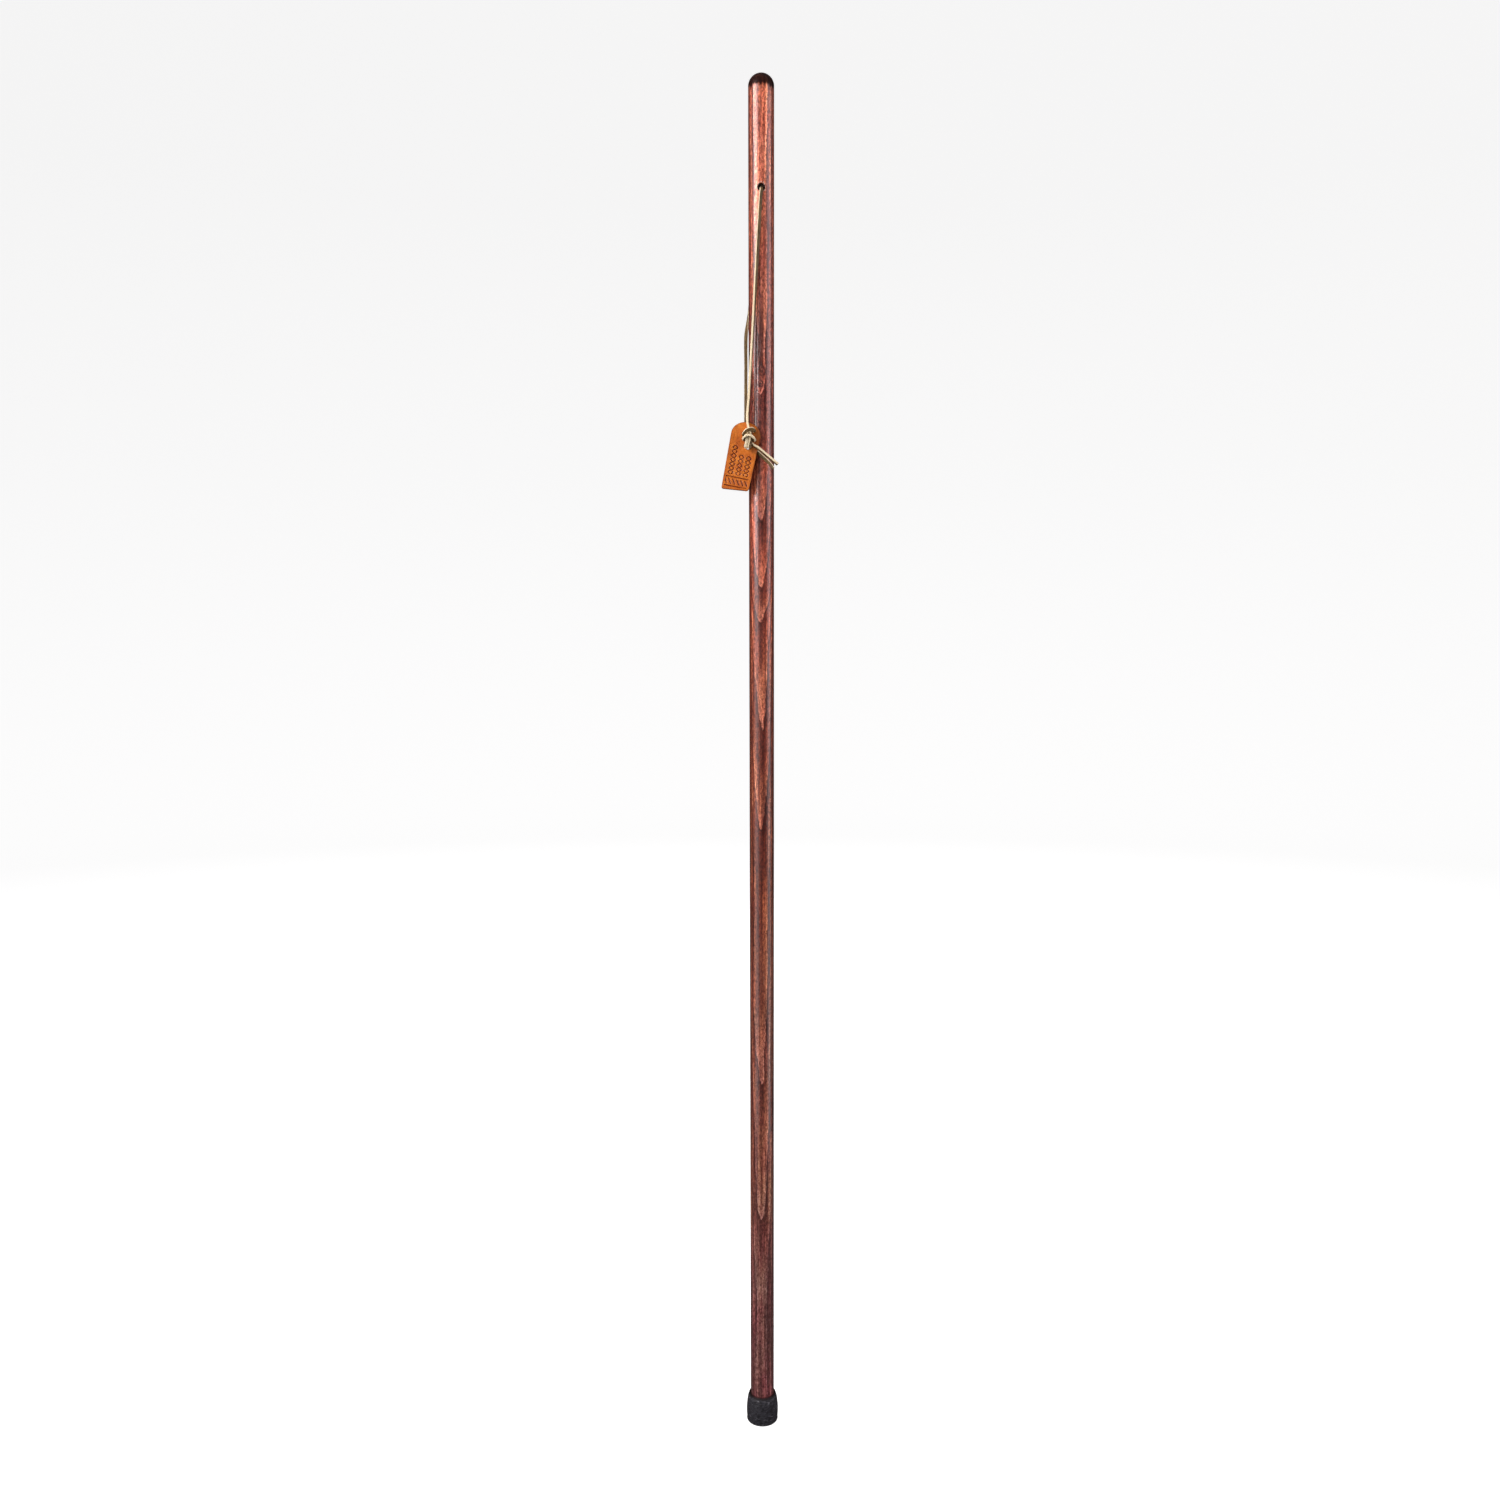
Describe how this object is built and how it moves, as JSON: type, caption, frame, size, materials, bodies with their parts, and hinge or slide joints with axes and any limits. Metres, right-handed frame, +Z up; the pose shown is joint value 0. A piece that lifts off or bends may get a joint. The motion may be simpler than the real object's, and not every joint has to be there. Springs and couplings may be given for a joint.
{
  "type": "walking staff",
  "caption": "Straight turned hardwood walking staff with a domed top, a leather lanyard and hang tag through a cross hole, and a rubber tip.",
  "frame": {"origin": "centre of the rubber tip's ground face, on the shaft's axis", "axes": "+Z up the shaft to the domed top; -Y is the front, where the tag hangs; the cross hole runs along Y; the lanyard hangs towards -X"},
  "size_m": [0.0577, 0.0473, 1.397],
  "materials": {
    "stained_wood": "red-brown stain under gloss lacquer",
    "black_rubber": "matt moulded",
    "washer_steel": "plain stamped",
    "lace_leather": "oiled khaki-brown lace",
    "tag_leather": "tan vegetable-tanned, tooled"
  },
  "bodies": {
    "stick": {"staff": "stained_wood", "ferrule": "black_rubber", "ferrule_washer": "washer_steel"},
    "lanyard": {"lanyard_lace": "lace_leather"},
    "tag": {"hang_tag": "tag_leather"}
  },
  "joints": [
    {"name": "lanyard_swing", "type": "hinge", "parent": "stick", "child": "lanyard", "pos_m": [0, 0, 1.281], "axis": [0, 1, 0], "range_deg": [0, 345]},
    {"name": "tag_swing", "type": "hinge", "parent": "lanyard", "child": "tag", "pos_m": [-0.0138, -0.0181, 1.0228], "axis": [0, 1, 0], "range_deg": [-60, 60]}
  ]
}
